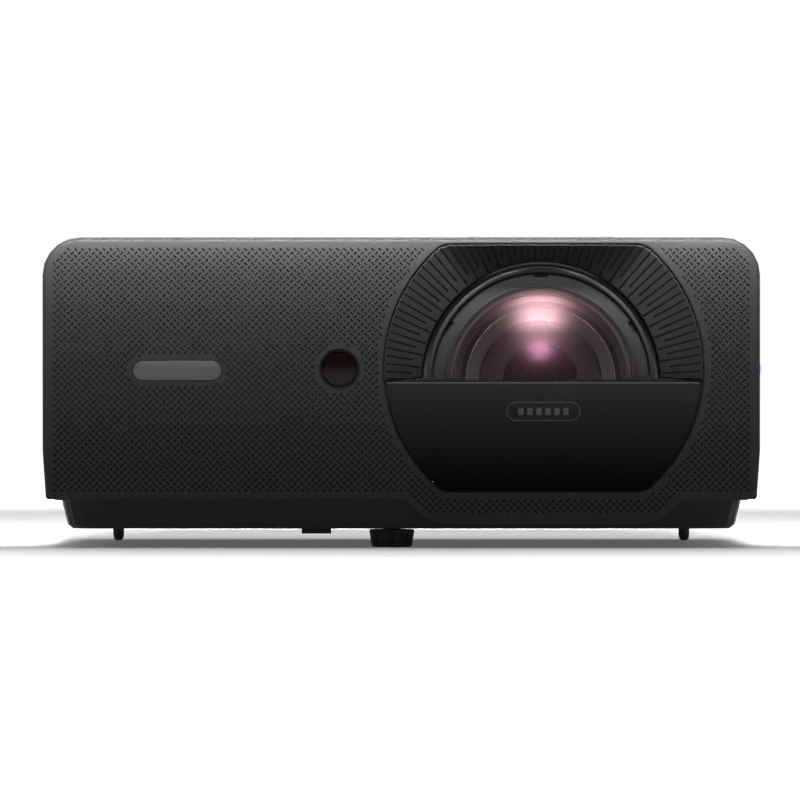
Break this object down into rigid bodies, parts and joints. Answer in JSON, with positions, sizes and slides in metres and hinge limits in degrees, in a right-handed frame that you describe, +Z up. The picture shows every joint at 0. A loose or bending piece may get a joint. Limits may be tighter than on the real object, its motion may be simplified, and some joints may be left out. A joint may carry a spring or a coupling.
{
  "type": "home projector",
  "caption": "Short-throw home projector: dimpled black case with a large recessed lens at one end, half lens cover, top keypad, vented sides, sockets at the back and screw feet.",
  "frame": {"origin": "on the table under the middle of the case's width and depth", "axes": "+X right as seen from the front, +Y to the back, +Z up; the lens looks along -Y"},
  "size_m": [0.3363, 0.2713, 0.1457],
  "materials": {
    "case_black": "fine matt texture",
    "satin_black": "satin",
    "funnel_black": "matt",
    "lens_black": "black anodised",
    "lens_black_plastic": "satin black",
    "lens_metal": "machined",
    "coated_glass": "polished, pink anti-reflection coating",
    "badge_grey": "satin",
    "infrared_window": "polished",
    "blue_light": "translucent",
    "key_black": "matt",
    "rubber": "matt",
    "steel": "plated",
    "aluminium": "extruded",
    "copper": "plain",
    "board_green": "solder resist",
    "socket_black": "moulded",
    "phosphor": "matt coating"
  },
  "bodies": {
    "case": {"front_bezel": "case_black", "nameplate": "badge_grey", "sensor_window": "infrared_window", "top_cover": "case_black", "window_trim": "satin_black", "left_grille": "case_black", "right_grille": "case_black", "bottom_tray": "case_black", "case_screw_1": "steel", "case_screw_2": "steel", "case_screw_3": "steel", "case_screw_4": "steel", "lens_funnel": "funnel_black", "lens_cover": "satin_black", "lens_barrel": "lens_black_plastic", "front_trim_ring": "lens_black", "key_board": "board_green", "status_light": "blue_light", "rear_panel": "case_black", "video_socket_1": "steel", "video_socket_2": "steel", "usb_socket": "steel", "audio_socket": "socket_black", "serial_socket": "steel", "power_inlet": "socket_black", "input_board": "board_green", "front_fan_frame": "socket_black", "rear_fan_frame": "socket_black", "optical_engine": "aluminium", "imager_heat_sink": "aluminium", "laser_module": "aluminium", "laser_heat_sink": "aluminium", "heat_pipe": "copper", "wheel_motor": "steel", "main_board": "board_green", "power_supply": "aluminium", "speaker": "socket_black"},
    "front_foot_stop": {"front_foot_washer": "steel"},
    "front_foot_screw": {"front_foot": "rubber"},
    "rear_foot_left_stop": {"rear_foot_left_washer": "steel"},
    "rear_foot_left_screw": {"rear_foot_left": "rubber"},
    "rear_foot_right_stop": {"rear_foot_right_washer": "steel"},
    "rear_foot_right_screw": {"rear_foot_right": "rubber"},
    "power_key_cap": {"power_key": "key_black"},
    "source_key_cap": {"source_key": "key_black"},
    "back_key_cap": {"back_key": "key_black"},
    "ok_key_cap": {"ok_key": "key_black"},
    "up_key_cap": {"up_key": "key_black"},
    "down_key_cap": {"down_key": "key_black"},
    "left_key_cap": {"left_key": "key_black"},
    "right_key_cap": {"right_key": "key_black"},
    "focus_ring_body": {"focus_ring": "key_black"},
    "front_group": {"front_glass": "coated_glass", "lens_baffle": "lens_metal", "second_glass": "coated_glass"},
    "zoom_ring_body": {"zoom_ring": "key_black"},
    "zoom_group": {"zoom_cell": "lens_black_plastic"},
    "front_fan_blades": {"front_fan_rotor": "socket_black"},
    "rear_fan_blades": {"rear_fan_rotor": "socket_black"},
    "colour_wheel": {"phosphor_wheel": "phosphor"}
  },
  "joints": [
    {"name": "front_foot_travel", "type": "slide", "parent": "case", "child": "front_foot_stop", "axis": [0, 0, -1], "range_m": [0, 0.015]},
    {"name": "front_foot_turn", "type": "hinge", "parent": "front_foot_stop", "child": "front_foot_screw", "pos_m": [-0.0044, -0.1, 0.02], "axis": [0, 0, 1], "range_deg": [0, 1800]},
    {"name": "rear_foot_left_travel", "type": "slide", "parent": "case", "child": "rear_foot_left_stop", "axis": [0, 0, -1], "range_m": [0, 0.008]},
    {"name": "rear_foot_left_turn", "type": "hinge", "parent": "rear_foot_left_stop", "child": "rear_foot_left_screw", "pos_m": [-0.138, 0.085, 0.02], "axis": [0, 0, 1], "range_deg": [0, 960]},
    {"name": "rear_foot_right_travel", "type": "slide", "parent": "case", "child": "rear_foot_right_stop", "axis": [0, 0, -1], "range_m": [0, 0.008]},
    {"name": "rear_foot_right_turn", "type": "hinge", "parent": "rear_foot_right_stop", "child": "rear_foot_right_screw", "pos_m": [0.138, 0.085, 0.02], "axis": [0, 0, 1], "range_deg": [0, 960]},
    {"name": "power_key_press", "type": "slide", "parent": "case", "child": "power_key_cap", "axis": [0, 0, -1], "range_m": [0, 0.0008], "stiffness_N_per_m": 1250},
    {"name": "source_key_press", "type": "slide", "parent": "case", "child": "source_key_cap", "axis": [0, 0, -1], "range_m": [0, 0.0008], "stiffness_N_per_m": 1250},
    {"name": "back_key_press", "type": "slide", "parent": "case", "child": "back_key_cap", "axis": [0, 0, -1], "range_m": [0, 0.0008], "stiffness_N_per_m": 1250},
    {"name": "ok_key_press", "type": "slide", "parent": "case", "child": "ok_key_cap", "axis": [0, 0, -1], "range_m": [0, 0.0008], "stiffness_N_per_m": 1250},
    {"name": "up_key_press", "type": "slide", "parent": "case", "child": "up_key_cap", "axis": [0, 0, -1], "range_m": [0, 0.0008], "stiffness_N_per_m": 1250},
    {"name": "down_key_press", "type": "slide", "parent": "case", "child": "down_key_cap", "axis": [0, 0, -1], "range_m": [0, 0.0008], "stiffness_N_per_m": 1250},
    {"name": "left_key_press", "type": "slide", "parent": "case", "child": "left_key_cap", "axis": [0, 0, -1], "range_m": [0, 0.0008], "stiffness_N_per_m": 1250},
    {"name": "right_key_press", "type": "slide", "parent": "case", "child": "right_key_cap", "axis": [0, 0, -1], "range_m": [0, 0.0008], "stiffness_N_per_m": 1250},
    {"name": "focus_turn", "type": "hinge", "parent": "case", "child": "focus_ring_body", "pos_m": [0.0653, -0.1, 0.0778], "axis": [0, 1, 0], "range_deg": [-30, 30]},
    {"name": "focus_travel", "type": "slide", "parent": "case", "child": "front_group", "axis": [0, 1, 0], "range_m": [-0.001, 0.001]},
    {"name": "zoom_turn", "type": "hinge", "parent": "case", "child": "zoom_ring_body", "pos_m": [0.0653, -0.076, 0.0778], "axis": [0, 1, 0], "range_deg": [-30, 30]},
    {"name": "zoom_travel", "type": "slide", "parent": "case", "child": "zoom_group", "axis": [0, 1, 0], "range_m": [-0.005, 0.005]},
    {"name": "front_fan_spin", "type": "hinge", "parent": "case", "child": "front_fan_blades", "pos_m": [-0.151, -0.05, 0.08], "axis": [1, 0, 0], "continuous": true},
    {"name": "rear_fan_spin", "type": "hinge", "parent": "case", "child": "rear_fan_blades", "pos_m": [-0.151, 0.025, 0.08], "axis": [1, 0, 0], "continuous": true},
    {"name": "wheel_spin", "type": "hinge", "parent": "case", "child": "colour_wheel", "pos_m": [0.001, 0.028, 0.08], "axis": [1, 0, 0], "continuous": true}
  ],
  "couplings": [
    {"joint": "front_foot_turn", "follows": "front_foot_travel", "rad_per_m": 2094.4},
    {"joint": "rear_foot_left_turn", "follows": "rear_foot_left_travel", "rad_per_m": 2094.4},
    {"joint": "rear_foot_right_turn", "follows": "rear_foot_right_travel", "rad_per_m": 2094.4},
    {"joint": "focus_travel", "follows": "focus_turn", "m_per_rad": 0.0019079},
    {"joint": "zoom_travel", "follows": "zoom_turn", "m_per_rad": 0.0095474}
  ]
}
